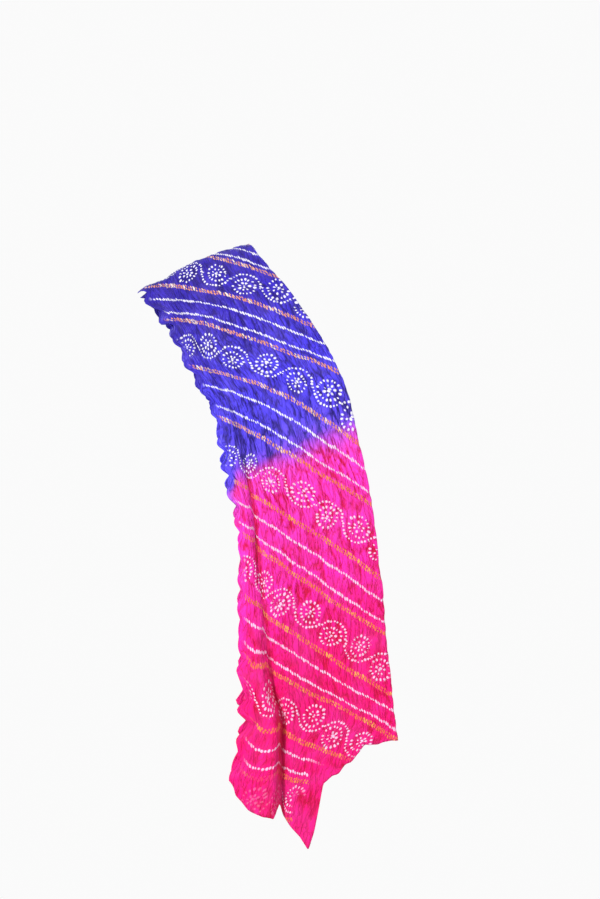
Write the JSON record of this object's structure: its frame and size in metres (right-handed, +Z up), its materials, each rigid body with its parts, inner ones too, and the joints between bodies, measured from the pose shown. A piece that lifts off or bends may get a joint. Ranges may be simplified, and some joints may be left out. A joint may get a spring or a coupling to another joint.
{
  "type": "dupatta stole",
  "caption": "Crinkled tie-dyed dupatta stole, folded double lengthwise and hung over one shoulder, shading from violet blue at the shoulder to hot pink at both ends.",
  "frame": {"origin": "on the underside of the cloth, in the middle of the crest where the wearer's shoulder carries it", "axes": "+Z up, the wearer faces -Y, +X towards the wearer's left, across the chest from the shoulder that carries the stole"},
  "size_m": [0.3128, 0.2351, 0.7234],
  "materials": {
    "crinkled_crepe": "satin"
  },
  "bodies": {
    "root": {"front_fall": "crinkled_crepe", "front_underlay": "crinkled_crepe", "back_fall": "crinkled_crepe", "back_underlay": "crinkled_crepe"}
  },
  "joints": []
}
